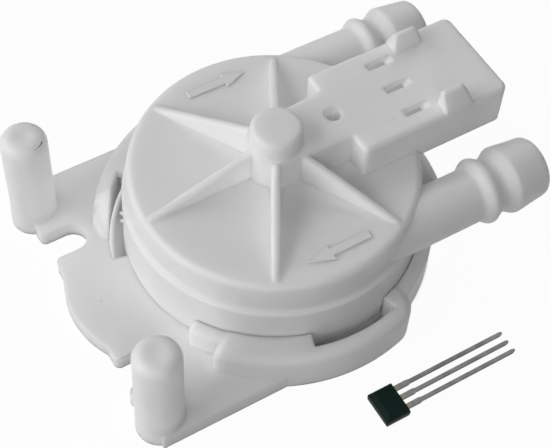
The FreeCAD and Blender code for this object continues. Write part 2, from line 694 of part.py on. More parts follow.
def housing_seal():
    """The ring seal, flattened between the groove of the spigot and the bore of the cap."""
    inner = GROOVE_RADIUS + SEAL_CLEARANCE
    outer = COUNTERBORE_RADIUS - SEAL_CLEARANCE
    bottom = GROOVE_BOTTOM + SEAL_CLEARANCE
    top = GROOVE_BOTTOM + GROOVE_WIDTH - SEAL_CLEARANCE
    rounding = (outer - inner) * SEAL_ROUNDNESS
    return revolved([(inner, bottom, rounding), (outer, bottom, rounding), (outer, top, rounding),
                     (inner, top, rounding)])


def vane(angle):
    """One curved vane of the wheel, from the hub out to the tip circle."""
    bottom = VANE_BOTTOM - OVERLAP
    top = WHEEL_TOP + OVERLAP
    shell = tube(VANE_CURVE_RADIUS + VANE_THICKNESS / 2, VANE_CURVE_RADIUS - VANE_THICKNESS / 2,
                 VANE_BOTTOM, WHEEL_TOP, 0, VANE_CURVE_RADIUS)
    reach = cylinder(VANE_TIP_RADIUS, bottom, top)
    half = block(HUB_RADIUS - VANE_ROOT_SINK, FAR, -FAR, VANE_CURVE_RADIUS, bottom, top)
    solid = shell.common(reach).common(half)
    solid.rotate(vector(0, 0, 0), vector(0, 0, 1), angle)
    return solid


def magnet_places():
    """The middle of each magnet in plan."""
    step = 360.0 / MAGNET_COUNT
    return [polar(MAGNET_CIRCLE_RADIUS, (index + 0.5) * step) for index in range(MAGNET_COUNT)]


def turbine_rotor():
    """The wheel: hub, magnet disc and curved vanes, with the magnets' pockets and their cover's seat."""
    disc = cylinder(WHEEL_DISC_RADIUS, WHEEL_TOP - WHEEL_DISC_THICKNESS, WHEEL_TOP)
    hub = cylinder(HUB_RADIUS, HUB_BOTTOM, HUB_TOP)
    vanes = [vane(index * 360.0 / VANE_COUNT) for index in range(VANE_COUNT)]
    body = fuse([disc, hub] + vanes)
    body = body.cut(cylinder(SHAFT_RADIUS + SHAFT_PRESS_GAP, HUB_BOTTOM - OVERLAP, HUB_TOP + OVERLAP))
    body = body.cut(tube(COVER_OUTER_RADIUS, COVER_INNER_RADIUS, COVER_BOTTOM, WHEEL_TOP + OVERLAP))
    pocket_bottom = COVER_BOTTOM - MAGNET_LENGTH - 2 * MAGNET_CLEARANCE
    for place in magnet_places():
        body = body.cut(cylinder(MAGNET_RADIUS + MAGNET_CLEARANCE, pocket_bottom, WHEEL_TOP + OVERLAP,
                                 place.x, place.y))
    return body


def magnet(place):
    """One magnet, in its pocket under the cover."""
    top = COVER_BOTTOM - MAGNET_CLEARANCE
    return cylinder(MAGNET_RADIUS, top - MAGNET_LENGTH, top, place.x, place.y)


def magnet_cover():
    """The flat ring that closes the magnets' pockets, flush with the wheel's top."""
    return tube(COVER_OUTER_RADIUS - COVER_CLEARANCE, COVER_INNER_RADIUS + COVER_CLEARANCE,
                COVER_BOTTOM, WHEEL_TOP)


def rotor_shaft():
    """The spindle, with chamfered ends."""
    end_radius = SHAFT_RADIUS - SHAFT_CHAMFER
    return revolved([
        (0, LOWER_BUSH_BOTTOM, 0),
        (end_radius, LOWER_BUSH_BOTTOM, 0),
        (SHAFT_RADIUS, LOWER_BUSH_BOTTOM + SHAFT_CHAMFER, 0),
        (SHAFT_RADIUS, SHAFT_TOP - SHAFT_CHAMFER, 0),
        (end_radius, SHAFT_TOP, 0),
        (0, SHAFT_TOP, 0),
    ])


def bush(bottom, top):
    """A plain bush for the spindle."""
    return tube(BUSH_RADIUS, BUSH_BORE, bottom, top)


def washer(bottom):
    """A thrust washer round the spindle."""
    return tube(BUSH_BORE + WASHER_WIDTH, BUSH_BORE, bottom, bottom + WASHER_THICKNESS)


def inlet_nozzle():
    """The insert in the inlet's water way, which narrows towards the chamber."""
    outer = PORT_SEAT_RADIUS - NOZZLE_CLEARANCE
    end = NOZZLE_START + NOZZLE_LENGTH
    throat = NOZZLE_START + NOZZLE_LENGTH / 2
    middle = vector(0, -PORT_OFFSET, PORT_HEIGHT)
    points = [(NOZZLE_START, NOZZLE_THROAT_RADIUS), (throat, NOZZLE_THROAT_RADIUS),
              (end, NOZZLE_MOUTH_RADIUS), (end, outer), (NOZZLE_START, outer)]
    section = polygon_face([middle + vector(x, 0, radius) for x, radius in points])
    return section.revolve(middle, vector(1, 0, 0), 360)


def hall_outline(height, back, front, side):
    """The Hall element's outline at a height, drawn in at its back, at the leads' end and at both sides."""
    x0 = HALL_X + back
    x1 = HALL_END - front
    y0 = HALL_Y - HALL_WIDTH / 2 + side
    y1 = HALL_Y + HALL_WIDTH / 2 - side
    points = [vector(x0, y0, height), vector(x1, y0, height), vector(x1, y1, height), vector(x0, y1, height)]
    return Part.makePolygon(points + points[:1])


def hall_body():
    """The moulded body of the Hall element, with bevelled edges round its upper face."""
    foot = hall_outline(0, HALL_DRAFT, HALL_DRAFT, HALL_DRAFT)
    middle = hall_outline(HALL_THICKNESS / 2, 0, 0, 0)
    shoulder = hall_outline(HALL_THICKNESS - HALL_BEVEL_DEPTH, HALL_DRAFT, HALL_DRAFT, HALL_DRAFT)
    crown = hall_outline(HALL_THICKNESS, HALL_BACK_BEVEL, HALL_FRONT_BEVEL, HALL_SIDE_BEVEL)
    levels = [foot, middle, shoulder, crown]
    return fuse([Part.makeLoft([low, high], True, True) for low, high in zip(levels, levels[1:])])


def hall_lead(index):
    """One lead: a wider root at the body, a slender run and a clipped point."""
    y = HALL_Y + (index - (LEAD_COUNT - 1) / 2) * LEAD_PITCH
    shoulder = HALL_END + LEAD_ROOT_LENGTH
    end = HALL_END + LEAD_LENGTH
    half = [
        (HALL_END, LEAD_ROOT_WIDTH / 2, 0),
        (shoulder, LEAD_ROOT_WIDTH / 2, 0),
        (shoulder + LEAD_NECK_LENGTH, LEAD_WIDTH / 2, 0),
        (end - LEAD_POINT_LENGTH, LEAD_WIDTH / 2, 0),
        (end, LEAD_POINT_WIDTH / 2, 0),
    ]
    bottom = (HALL_THICKNESS - LEAD_THICKNESS) / 2
    solid = prism(half + mirrored(half), bottom, bottom + LEAD_THICKNESS)
    solid.translate(vector(0, y, 0))
    return solid


def build():
    """Every piece of the sensor by its name."""
    pieces = {
        "lower_housing": lower_housing(),
        "upper_housing": upper_housing(),
        "housing_seal": housing_seal(),
        "turbine_rotor": turbine_rotor(),
        "rotor_shaft": rotor_shaft(),
        "lower_bearing": bush(LOWER_BUSH_BOTTOM, PIVOT_BOSS_TOP),
        "upper_bearing": bush(CHAMBER_TOP, UPPER_BUSH_TOP),
        "lower_thrust_washer": washer(LOWER_WASHER_BOTTOM),
        "upper_thrust_washer": washer(UPPER_WASHER_BOTTOM),
        "magnet_cover": magnet_cover(),
        "inlet_nozzle": inlet_nozzle(),
        "hall_body": hall_body(),
    }
    for number, place in enumerate(magnet_places(), start=1):
        pieces["rotor_magnet_%d" % number] = magnet(place)
    for index in range(LEAD_COUNT):
        pieces["hall_lead_%d" % (index + 1)] = hall_lead(index)
    return pieces


os.makedirs("parts", exist_ok=True)
for name, shape in build().items():
    shape.exportStep("parts/%s.step" % name)
    print("%-22s volume %9.2f  solids %d" % (name, shape.Volume, len(shape.Solids)), shape.isValid())
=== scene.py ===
"""Dresses the water flow sensor: housings, wheel, bearings and Hall element, in a plain studio."""
import json
import logging
import math
from dataclasses import dataclass
from enum import Enum

import bmesh
import bpy
from mathutils import Matrix, Vector

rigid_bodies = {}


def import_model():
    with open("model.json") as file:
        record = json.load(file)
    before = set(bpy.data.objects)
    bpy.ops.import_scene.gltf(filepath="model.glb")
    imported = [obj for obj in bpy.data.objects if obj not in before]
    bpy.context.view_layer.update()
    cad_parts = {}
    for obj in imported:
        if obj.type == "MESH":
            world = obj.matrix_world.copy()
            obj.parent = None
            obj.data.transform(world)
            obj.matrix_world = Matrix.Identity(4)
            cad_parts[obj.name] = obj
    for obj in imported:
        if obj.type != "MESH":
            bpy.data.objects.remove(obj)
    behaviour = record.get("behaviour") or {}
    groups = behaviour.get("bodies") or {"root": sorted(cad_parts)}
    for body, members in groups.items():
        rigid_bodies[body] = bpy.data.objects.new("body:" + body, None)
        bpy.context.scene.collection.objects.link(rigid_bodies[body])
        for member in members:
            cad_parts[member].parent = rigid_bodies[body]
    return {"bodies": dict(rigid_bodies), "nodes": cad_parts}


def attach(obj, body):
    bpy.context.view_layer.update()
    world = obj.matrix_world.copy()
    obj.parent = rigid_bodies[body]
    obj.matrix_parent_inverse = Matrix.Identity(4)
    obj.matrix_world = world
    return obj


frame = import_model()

LOG = logging.getLogger("flow_sensor")
MM = 0.001

Colour = tuple[float, float, float]
Place = tuple[float, float, float]

ORIGIN: Place = (0.0, 0.0, 0.0)
WHITE = (1.0, 1.0, 1.0, 1.0)
PLASTIC_IOR = 1.5
BEVEL_SAMPLES = 6

# Where the Mix node keeps its sockets for colours.
MIX_FACTOR, MIX_FIRST, MIX_SECOND, MIX_RESULT = 0, 6, 7, 2

# Levels and places on the mouldings that the marks lie on.
PLATE_TOP = 2.0 * MM
CAP_TOP = 13.75 * MM
ARM_TOP = 18.19 * MM
POST_X = -23.4 * MM
POST_Y = 16.0 * MM
POST_TOP = 15.3 * MM


class Slot(Enum):
    """The material slots of the record."""

    HOUSING = "housing_plastic"
    WHEEL = "wheel_plastic"
    SEAL = "seal_rubber"
    SPINDLE = "spindle_steel"
    BEARING = "bearing_plastic"
    MAGNET = "magnet_ferrite"
    ELEMENT = "element_plastic"
    LEAD = "lead_metal"


class Body(Enum):
    """The bodies of the frame that pieces ride on."""

    HOUSING = "root"
    ROTOR = "rotor"


class Graph:
    """A shader node tree with short calls for placing and joining nodes."""

    def __init__(self, tree: bpy.types.NodeTree) -> None:
        """Takes over a tree and empties it.

        Args:
            tree: The node tree of a material, a world or a group.
        """
        self.tree = tree
        self.tree.nodes.clear()

    def add(self, kind: str, inputs: dict | None = None, **settings: object) -> bpy.types.Node:
        """Places a node, with values or links on its inputs.

        Args:
            kind: The node's type name, without its ShaderNode prefix.
            inputs: A value or an output socket for each input, by name or index.
            settings: Attributes of the node itself.

        Returns:
            The new node.
        """
        node = self.tree.nodes.new("ShaderNode" + kind)
        for key, value in settings.items():
            setattr(node, key, value)
        for key, value in (inputs or {}).items():
            if isinstance(value, bpy.types.NodeSocket):
                self.tree.links.new(value, node.inputs[key])
            else:
                node.inputs[key].default_value = value
        return node

    def group(self, effect: bpy.types.NodeTree, inputs: dict | None = None) -> bpy.types.Node:
        """Places a shared effect.

        Args:
            effect: The effect's node group.
            inputs: A value or an output socket for each of its inputs.

        Returns:
            The node that holds the group.
        """
        return self.add("Group", inputs, node_tree=effect)

    def place(self) -> bpy.types.NodeSocket:
        """Where a point lies on the frame's axes."""
        return self.add("TexCoord").outputs["Object"]

    def along(self, axis: str) -> bpy.types.NodeSocket:
        """How far along one of the frame's axes a point lies."""
        return self.add("SeparateXYZ", {0: self.place()}).outputs[axis]

    def distance(self, first: object, second: object) -> bpy.types.NodeSocket:
        """How far apart two places are."""
        return self.add("VectorMath", {0: first, 1: second}, operation="DISTANCE").outputs["Value"]

    def vector(self, operation: str, first: object, second: object = ORIGIN) -> bpy.types.NodeSocket:
        """Joins two vectors by one operation."""
        return self.add("VectorMath", {0: first, 1: second}, operation=operation).outputs["Vector"]

    def maths(self, operation: str, first: object, second: object = 0.0) -> bpy.types.NodeSocket:
        """Joins two values by one operation.

        Args:
            operation: The name of the operation.
            first: A value or socket.
            second: A value or socket.

        Returns:
            The result's socket.
        """
        return self.add("Math", {0: first, 1: second}, operation=operation).outputs[0]

    def remap(self, value: bpy.types.NodeSocket, low: float, high: float, to_low: float,
              to_high: float) -> bpy.types.NodeSocket:
        """Stretches a value from one range to another, and holds it there.

        Args:
            value: The socket to stretch.
            low: The start of its range.
            high: The end of its range.
            to_low: What the start becomes.
            to_high: What the end becomes.

        Returns:
            The result's socket.
        """
        node = self.add("MapRange", {"Value": value, "From Min": low, "From Max": high, "To Min": to_low,
                                     "To Max": to_high})
        return node.outputs["Result"]

    def blend(self, factor: object, first: object, second: object) -> bpy.types.NodeSocket:
        """Mixes two colours.

        Args:
            factor: How much of the second colour shows.
            first: A colour or socket.
            second: A colour or socket.

        Returns:
            The mixed colour's socket.
        """
        first, second = (value if isinstance(value, bpy.types.NodeSocket) else (*value, 1.0)
                         for value in (first, second))
        node = self.add("Mix", data_type="RGBA",
                        inputs={MIX_FACTOR: factor, MIX_FIRST: first, MIX_SECOND: second})
        return node.outputs[MIX_RESULT]

    def join(self, output: bpy.types.NodeSocket, target: bpy.types.NodeSocket) -> None:
        """Links an output to an input."""
        self.tree.links.new(output, target)

    def end(self, shader: bpy.types.NodeSocket, kind: str = "OutputMaterial") -> None:
        """Makes a shader what the whole tree puts out."""
        self.join(shader, self.add(kind).inputs["Surface"])


GroupParts = tuple[Graph, bpy.types.Node, bpy.types.Node, bpy.types.NodeTree]


def start_material(name: str) -> tuple[bpy.types.Material, Graph]:
    """Starts a material.

    Args:
        name: The material's name.

    Returns:
        The material and its empty graph.
    """
    material = bpy.data.materials.new(name)
    material.use_nodes = True
    return material, Graph(material.node_tree)


class Effects:
    """The effects that the finishes share, each a node group built once."""

    def __init__(self) -> None:
        """Builds every group."""
        self.mottle = self._mottle()
        self.grain = self._grain()
        self.edges = self._edges()
        self.specks = self._specks()
        self.spot = self._spot()
        self.nick = self._nick()
        self.dish = self._dish()
        self.recess = self._recess()

    @staticmethod
    def _group(name: str, inputs: dict[str, object], outputs: list[str]) -> GroupParts:
        """Starts a node group.

        Args:
            name: The group's name.
            inputs: The name and usual value of each input, a number or a place.
            outputs: The name of each output.

        Returns:
            Its graph, its input node, its output node and the group itself.
        """
        effect = bpy.data.node_groups.new(name, "ShaderNodeTree")
        graph = Graph(effect)
        for key, value in inputs.items():
            kind = "NodeSocketVector" if isinstance(value, tuple) else "NodeSocketFloat"
            socket = effect.interface.new_socket(key, in_out="INPUT", socket_type=kind)
            socket.default_value = value
        for key in outputs:
            effect.interface.new_socket(key, in_out="OUTPUT", socket_type="NodeSocketFloat")
        start = effect.nodes.new("NodeGroupInput")
        end = effect.nodes.new("NodeGroupOutput")
        return graph, start, end, effect

    def _mottle(self) -> bpy.types.NodeTree:
        """Soft clouds in the plastic.

        Returns:
            The group, with a Size and a Cloud mask.
        """
        faintest, fullest = 0.3, 0.7
        graph, start, end, effect = self._group("plastic_clouds", {"Size": 6 * MM}, ["Cloud"])
        scale = graph.maths("DIVIDE", 1.0, start.outputs["Size"])
        noise = graph.add("TexNoise", {"Vector": graph.place(), "Scale": scale, "Detail": 3.0,
                                       "Roughness": 0.55}).outputs["Fac"]
        graph.join(graph.remap(noise, faintest, fullest, 0.0, 1.0), end.inputs["Cloud"])
        return effect

    def _grain(self) -> bpy.types.NodeTree:
        """The fine grain of a spark-eroded mould.

        Returns:
            The group, with a Size and a Height.
        """
        graph, start, end, effect = self._group("mould_grain", {"Size": 0.2 * MM}, ["Height"])
        scale = graph.maths("DIVIDE", 1.0, start.outputs["Size"])
        noise = graph.add("TexNoise", {"Vector": graph.place(), "Scale": scale, "Detail": 4.0,
                                       "Roughness": 0.6})
        graph.join(noise.outputs["Fac"], end.inputs["Height"])
        return effect

    def _edges(self) -> bpy.types.NodeTree:
        """Where a corner is near, found from how far a softened normal turns.

        Returns:
            The group, with a Width and an Edge mask.
        """
        flat, turned = 0.98, 0.75
        graph, start, end, effect = self._group("edge_mask", {"Width": 0.3 * MM}, ["Edge"])
        soft = graph.add("Bevel", {"Radius": start.outputs["Width"]}, samples=BEVEL_SAMPLES)
        plain = graph.add("NewGeometry")
        agreement = graph.add("VectorMath", {0: soft.outputs["Normal"], 1: plain.outputs["Normal"]},
                              operation="DOT_PRODUCT").outputs["Value"]
        graph.join(graph.remap(agreement, flat, turned, 0.0, 1.0), end.inputs["Edge"])
        return effect

    def _specks(self) -> bpy.types.NodeTree:
        """A few small specks, each in its own cell.

        Returns:
            The group, with a Spacing, a Share of the cells and a Speck mask.
        """
        core, rim = 0.03, 0.05
        graph, start, end, effect = self._group("specks", {"Spacing": 3 * MM, "Share": 0.2}, ["Speck"])
        scale = graph.maths("DIVIDE", 1.0, start.outputs["Spacing"])
        cells = graph.add("TexVoronoi", {"Vector": graph.place(), "Scale": scale})
        near = graph.remap(cells.outputs["Distance"], core, rim, 1.0, 0.0)
        chance = graph.add("SeparateColor", {0: cells.outputs["Color"]}).outputs[0]
        chosen = graph.maths("LESS_THAN", chance, start.outputs["Share"])
        graph.join(graph.maths("MULTIPLY", near, chosen), end.inputs["Speck"])
        return effect

    def _spot(self) -> bpy.types.NodeTree:
        """One small soft spot at a place.

        Returns:
            The group, with a Place, a Radius and a Spot mask.
        """
        graph, start, end, effect = self._group("spot", {"Place": ORIGIN, "Radius": 0.2 * MM}, ["Spot"])
        away = graph.distance(graph.place(), start.outputs["Place"])
        share = graph.maths("DIVIDE", away, start.outputs["Radius"])
        graph.join(graph.remap(share, 0.5, 1.0, 1.0, 0.0), end.inputs["Spot"])
        return effect

    def _nick(self) -> bpy.types.NodeTree:
        """The painted shade of a thin cut that runs part of the way round an upright post, and is
        broadest at its end.

        Returns:
            The group, with the cut's Middle on the post's axis, its Reach out from there, its Start and
            End in degrees, its Breadth and a Nick mask.
        """
        thin_end, broadest_at, fade_in, fade_out = 0.3, 0.85, 0.1, 0.9
        inputs = {"Middle": ORIGIN, "Reach": 3 * MM, "Start": 0.0, "End": 30.0, "Breadth": 0.1 * MM}
        graph, start, end, effect = self._group("nick", inputs, ["Nick"])
        place = graph.place()
        middle = start.outputs["Middle"]
        parts = graph.add("SeparateXYZ", {0: graph.vector("SUBTRACT", place, middle)}).outputs
        turn = graph.maths("DEGREES", graph.maths("ARCTAN2", parts["Y"], parts["X"]))
        length = graph.maths("SUBTRACT", start.outputs["End"], start.outputs["Start"])
        along = graph.maths("DIVIDE", graph.maths("SUBTRACT", turn, start.outputs["Start"]), length)
        swell = graph.remap(along, 0.0, broadest_at, thin_end, 1.0)
        inside = graph.maths("MULTIPLY", graph.remap(along, 0.0, fade_in, 0.0, 1.0),
                             graph.remap(along, fade_out, 1.0, 1.0, 0.0))
        half = graph.maths("MULTIPLY", graph.maths("DIVIDE", start.outputs["Breadth"], 2.0), swell)
        off = graph.maths("DIVIDE", graph.maths("ABSOLUTE", parts["Z"]), half)
        line = graph.maths("MULTIPLY", graph.remap(off, 0.5, 1.0, 1.0, 0.0), swell)
        near = graph.maths("LESS_THAN", graph.distance(place, middle), start.outputs["Reach"])
        cut = graph.maths("MULTIPLY", graph.maths("MULTIPLY", line, inside), near)
        graph.join(cut, end.inputs["Nick"])
        return effect

    def _dish(self) -> bpy.types.NodeTree:
        """A shallow round dish in a level top.

        Returns:
            The group, with its Middle, its Radius and a Hollow that is 1 in the middle and 0 beyond the
            rim.
        """
        inputs = {"Middle": ORIGIN, "Radius": 1.0 * MM}
        graph, start, end, effect = self._group("dish", inputs, ["Hollow"])
        away = graph.distance(graph.place(), start.outputs["Middle"])
        held = graph.maths("MINIMUM", graph.maths("DIVIDE", away, start.outputs["Radius"]), 1.0)
        bowl = graph.maths("SUBTRACT", 1.0, graph.maths("MULTIPLY", held, held))
        graph.join(graph.maths("MULTIPLY", bowl, bowl), end.inputs["Hollow"])
        return effect

    def _recess(self) -> bpy.types.NodeTree:
        """What lies in an upright box, fading towards its sides.

        Returns:
            The group, with the box's Middle and Half size, the Fade's width and an Inside mask.
        """
        inputs = {"Middle": ORIGIN, "Half": (1.0 * MM, 1.0 * MM, 1.0 * MM), "Fade": 0.5 * MM}
        graph, start, end, effect = self._group("recess", inputs, ["Inside"])
        away = graph.vector("ABSOLUTE", graph.vector("SUBTRACT", graph.place(), start.outputs["Middle"]))
        left = graph.vector("SUBTRACT", start.outputs["Half"], away)
        inside = None
        for part in graph.add("SeparateXYZ", {0: left}).outputs:
            share = graph.remap(graph.maths("DIVIDE", part, start.outputs["Fade"]), 0.0, 1.0, 0.0, 1.0)
            inside = share if inside is None else graph.maths("MULTIPLY", inside, share)
        graph.join(inside, end.inputs["Inside"])
        return effect


@dataclass(frozen=True)
class Spot:
    """A small dark spot or inclusion in the plastic."""

    place: Place
    radius: float = 0.17 * MM
    strength: float = 0.2


@dataclass(frozen=True)
class Nick:
    """A thin cut round part of a post's head, drawn only as a dark line of painted shade."""

    middle: Place
    start: float
    end: float
    breadth: float
    reach: float = 3 * MM


@dataclass(frozen=True)
class Dish:
    """A shallow dish in the head of a post."""

    middle: Place
    radius: float
    depth: float


@dataclass(frozen=True)
class PaintedGlow:
    """A box round a recess or a shaded side where a painted glow (emission) stands in for light that
    reaches through the milky plastic.
    """

    middle: Place
    half: Place
    fade: float
    strength: float


@dataclass(frozen=True)
class MouldedPlastic:
    """A moulded plastic, from milky translucent to black."""

    name: str
    colour: Colour
    cloud_colour: Colour
    # Painted highlight: the lighter colour that the corners are shaded towards.
    edge_highlight_colour: Colour
    speck_colour: Colour = (0.2, 0.19, 0.17)
    # Painted shade: the dark colour of the line that stands in for a thin cut.
    nick_shade_colour: Colour = (0.06, 0.06, 0.055)
    roughness: float = 0.42
    roughness_spread: float = 0.08
    translucency: float = 0.0
    reach: float = 1.5 * MM
    cloud_size: float = 6 * MM
    grain_size: float = 0.22 * MM
    grain_height: float = 0.012 * MM
    edge_width: float = 0.22 * MM
    edge_highlight_strength: float = 0.5
    speck_share: float = 0.06
    speck_strength: float = 0.6
    spots: tuple[Spot, ...] = ()
    nicks: tuple[Nick, ...] = ()
    dishes: tuple[Dish, ...] = ()
    painted_glows: tuple[PaintedGlow, ...] = ()
    specular: float = 0.5

    def _marked(self, graph: Graph, effects: Effects,
                colour: bpy.types.NodeSocket) -> bpy.types.NodeSocket:
        """Adds the spots and the painted shade of the nicks to the colour.

        Args:
            graph: The material's graph.
            effects: The shared effects.
            colour: The clean colour.

        Returns:
            The marked colour's socket.
        """
        for spot in self.spots:
            inputs = {"Place": spot.place, "Radius": spot.radius}
            mask = graph.group(effects.spot, inputs).outputs["Spot"]
            colour = graph.blend(graph.maths("MULTIPLY", mask, spot.strength), colour, self.speck_colour)
        for nick in self.nicks:
            inputs = {"Middle": nick.middle, "Reach": nick.reach, "Start": nick.start, "End": nick.end,
                      "Breadth": nick.breadth}
            mask = graph.group(effects.nick, inputs).outputs["Nick"]
            # Painted shade: each nick is a dark line in the colour, standing in for the shade inside a
            # thin cut.
            colour = graph.blend(mask, colour, self.nick_shade_colour)
        return colour

    def _relief(self, graph: Graph, effects: Effects) -> bpy.types.NodeSocket:
        """How high the grain stands, less the dishes.

        Args:
            graph: The material's graph.
            effects: The shared effects.

        Returns:
            The height's socket, in metres.
        """
        grain = graph.group(effects.grain, {"Size": self.grain_size}).outputs["Height"]
        height = graph.maths("MULTIPLY", grain, self.grain_height)
        for dish in self.dishes:
            inputs = {"Middle": dish.middle, "Radius": dish.radius}
            hollow = graph.group(effects.dish, inputs).outputs["Hollow"]
            height = graph.maths("SUBTRACT", height, graph.maths("MULTIPLY", hollow, dish.depth))
        return height

    def _painted_glow(self, graph: Graph, effects: Effects) -> bpy.types.NodeSocket | None:
        """How much painted glow (emission) stands in for light through the plastic in the recesses and
        on the shaded sides.

        Args:
            graph: The material's graph.
            effects: The shared effects.

        Returns:
            The painted glow's socket, or None where there is none.
        """
        light = None
        for glow in self.painted_glows:
            inputs = {"Middle": glow.middle, "Half": glow.half, "Fade": glow.fade}
            inside = graph.group(effects.recess, inputs).outputs["Inside"]
            part = graph.maths("MULTIPLY", inside, glow.strength)
            light = part if light is None else graph.maths("ADD", light, part)
        return light

    def material(self, effects: Effects) -> bpy.types.Material:
        """Builds the finish.

        Args:
            effects: The shared effects.

        Returns:
            The material.
        """
        material, graph = start_material(self.name)
        cloud = graph.group(effects.mottle, {"Size": self.cloud_size}).outputs["Cloud"]
        edge = graph.group(effects.edges, {"Width": self.edge_width}).outputs["Edge"]
        speck = graph.group(effects.specks, {"Share": self.speck_share}).outputs["Speck"]
        colour = graph.blend(cloud, self.colour, self.cloud_colour)
        # Painted highlight: near the corners the colour is lightened towards the edge colour.
        colour = graph.blend(graph.maths("MULTIPLY", edge, self.edge_highlight_strength), colour, self.edge_highlight_colour)
        colour = graph.blend(graph.maths("MULTIPLY", speck, self.speck_strength), colour,
                             self.speck_colour)
        colour = self._marked(graph, effects, colour)
        rough = graph.remap(cloud, 0.0, 1.0, self.roughness - self.roughness_spread / 2,
                            self.roughness + self.roughness_spread / 2)
        soft = graph.add("Bevel", {"Radius": self.edge_width}, samples=BEVEL_SAMPLES).outputs["Normal"]
        bump = graph.add("Bump", {"Strength": 1.0, "Distance": 1.0, "Normal": soft,
                                  "Height": self._relief(graph, effects)}).outputs["Normal"]
        surface = graph.add("BsdfPrincipled", {
            "Base Color": colour, "Roughness": rough, "Normal": bump, "IOR": PLASTIC_IOR,
            "Subsurface Weight": self.translucency, "Subsurface Scale": self.reach,
            "Subsurface Radius": (1.0, 1.0, 1.0), "Specular IOR Level": self.specular,
        })
        light = self._painted_glow(graph, effects)
        # Painted glow: emission lights the recesses and the shaded sides, though they are no lamp.
        if light is not None:
            graph.join(light, surface.inputs["Emission Color"])
            surface.inputs["Emission Strength"].default_value = 1.0
        graph.end(surface.outputs[0])
        return material


@dataclass(frozen=True)
class BareMetal:
    """A bare or tinned metal, with another tone along one stretch where it needs one, and painted shade
    on its lower part where it needs that.
    """

    name: str
    colour: Colour
    dull_colour: Colour
    roughness: float = 0.4
    roughness_spread: float = 0.14
    cloud_size: float = 1.4 * MM
    grain_size: float = 0.12 * MM
    grain_height: float = 0.004 * MM
    stained_colour: Colour = (0.2, 0.2, 0.15)
    stained_end: float | None = None
    stain_fade: float = 0.15 * MM
    # Painted shade: the dark tone of the lower part, where shade falls under the metal.
    painted_shade_colour: Colour = (0.045, 0.045, 0.046)
    painted_shade_top: float | None = None
    painted_shade_fade: float = 0.08 * MM

    def material(self, effects: Effects) -> bpy.types.Material:
        """Builds the finish.

        Args:
            effects: The shared effects.

        Returns:
            The material.
        """
        material, graph = start_material(self.name)
        cloud = graph.group(effects.mottle, {"Size": self.cloud_size}).outputs["Cloud"]
        grain = graph.group(effects.grain, {"Size": self.grain_size}).outputs["Height"]
        colour = graph.blend(cloud, self.colour, self.dull_colour)
        if self.stained_end is not None:
            stain = graph.remap(graph.along("X"), self.stained_end - self.stain_fade,
                                self.stained_end + self.stain_fade, 1.0, 0.0)
            colour = graph.blend(stain, colour, self.stained_colour)
        # Painted shade: the metal darkens towards its bottom, where shade falls under it.
        if self.painted_shade_top is not None:
            low = graph.remap(graph.along("Z"), self.painted_shade_top - self.painted_shade_fade,
                              self.painted_shade_top, 1.0, 0.0)
            colour = graph.blend(low, colour, self.painted_shade_colour)
        rough = graph.remap(cloud, 0.0, 1.0, self.roughness - self.roughness_spread / 2,
                            self.roughness + self.roughness_spread / 2)
        bump = graph.add("Bump", {"Strength": 1.0, "Distance": self.grain_height, "Height": grain})
        surface = graph.add("BsdfPrincipled", {"Base Color": colour, "Roughness": rough,
                                               "Normal": bump.outputs["Normal"], "Metallic": 1.0})
        graph.end(surface.outputs[0])
        return material


POST_DISHES = tuple(Dish((POST_X, side * POST_Y, POST_TOP), radius=1.4 * MM, depth=0.12 * MM)
                    for side in (-1, 1))
POST_NICKS = (Nick((POST_X, POST_Y, 14.94 * MM), start=-84.0, end=-40.0, breadth=0.14 * MM),)
HOUSING_SPOTS = (
    Spot((-22.45 * MM, 0.04 * MM, PLATE_TOP)),
    Spot((2.08 * MM, -7.72 * MM, CAP_TOP), strength=0.12),
    Spot((6.3 * MM, -0.7 * MM, ARM_TOP), radius=0.22 * MM, strength=0.12),
    Spot((12.54 * MM, -3.82 * MM, ARM_TOP), radius=0.16 * MM, strength=0.15),
    Spot((12.8 * MM, -3.95 * MM, ARM_TOP), radius=0.16 * MM, strength=0.15),
    Spot((13.07 * MM, -3.86 * MM, ARM_TOP), radius=0.16 * MM, strength=0.15),
)
POST_GLOW_HALF: Place = (2.9 * MM, 2.3 * MM, 6.4 * MM)

# Painted glow (emission) in place of light through the milky plastic: the arm's inside, its sight hole,
# the gap beside the left claw, and the shaded side of each post.
HOUSING_PAINTED_GLOWS = (
    PaintedGlow((17.9 * MM, 0.0, 15.5 * MM), (9.2 * MM, 5.9 * MM, 2.6 * MM), 0.6 * MM, strength=0.06),
    PaintedGlow((7.42 * MM, 0.0, 15.3 * MM), (1.3 * MM, 1.3 * MM, 2.8 * MM), 0.5 * MM, strength=0.065),
    PaintedGlow((-15.6 * MM, 8.9 * MM, 5.0 * MM), (2.4 * MM, 3.1 * MM, 4.0 * MM), 0.8 * MM, strength=0.14),
    PaintedGlow((-22.7 * MM, 14.3 * MM, 9.2 * MM), POST_GLOW_HALF, fade=1.2 * MM, strength=0.05),
    PaintedGlow((-22.7 * MM, -17.7 * MM, 9.2 * MM), POST_GLOW_HALF, fade=1.2 * MM, strength=0.06),
)


